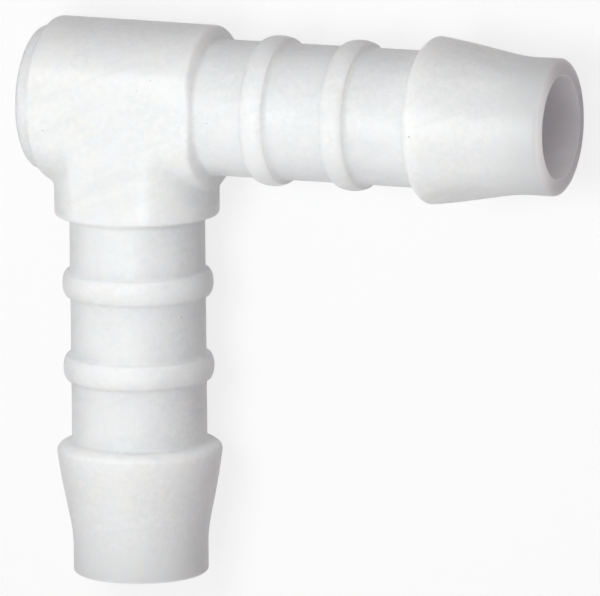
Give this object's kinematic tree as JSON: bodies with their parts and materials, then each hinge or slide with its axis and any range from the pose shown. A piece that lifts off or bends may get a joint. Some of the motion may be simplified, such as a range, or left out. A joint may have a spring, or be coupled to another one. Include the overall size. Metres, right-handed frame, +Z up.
{
  "type": "elbow hose connector",
  "caption": "Right-angle hose connector moulded in one piece: a corner block with flats and a collar, and two barbed nozzles with clamp ridges.",
  "frame": {"origin": "the middle of the underside flat, straight below the point where the two nozzle axes cross", "axes": "+X along one nozzle towards its open end, -Y along the other nozzle towards its open end, +Z up out of the front flat; both nozzle axes lie 6.45 mm above the origin"},
  "size_m": [0.0491, 0.0497, 0.0147],
  "materials": {
    "moulded_plastic": "natural white engineering plastic as moulded, half matt, slightly translucent"
  },
  "bodies": {
    "root": {"elbow_connector": "moulded_plastic"}
  },
  "joints": []
}
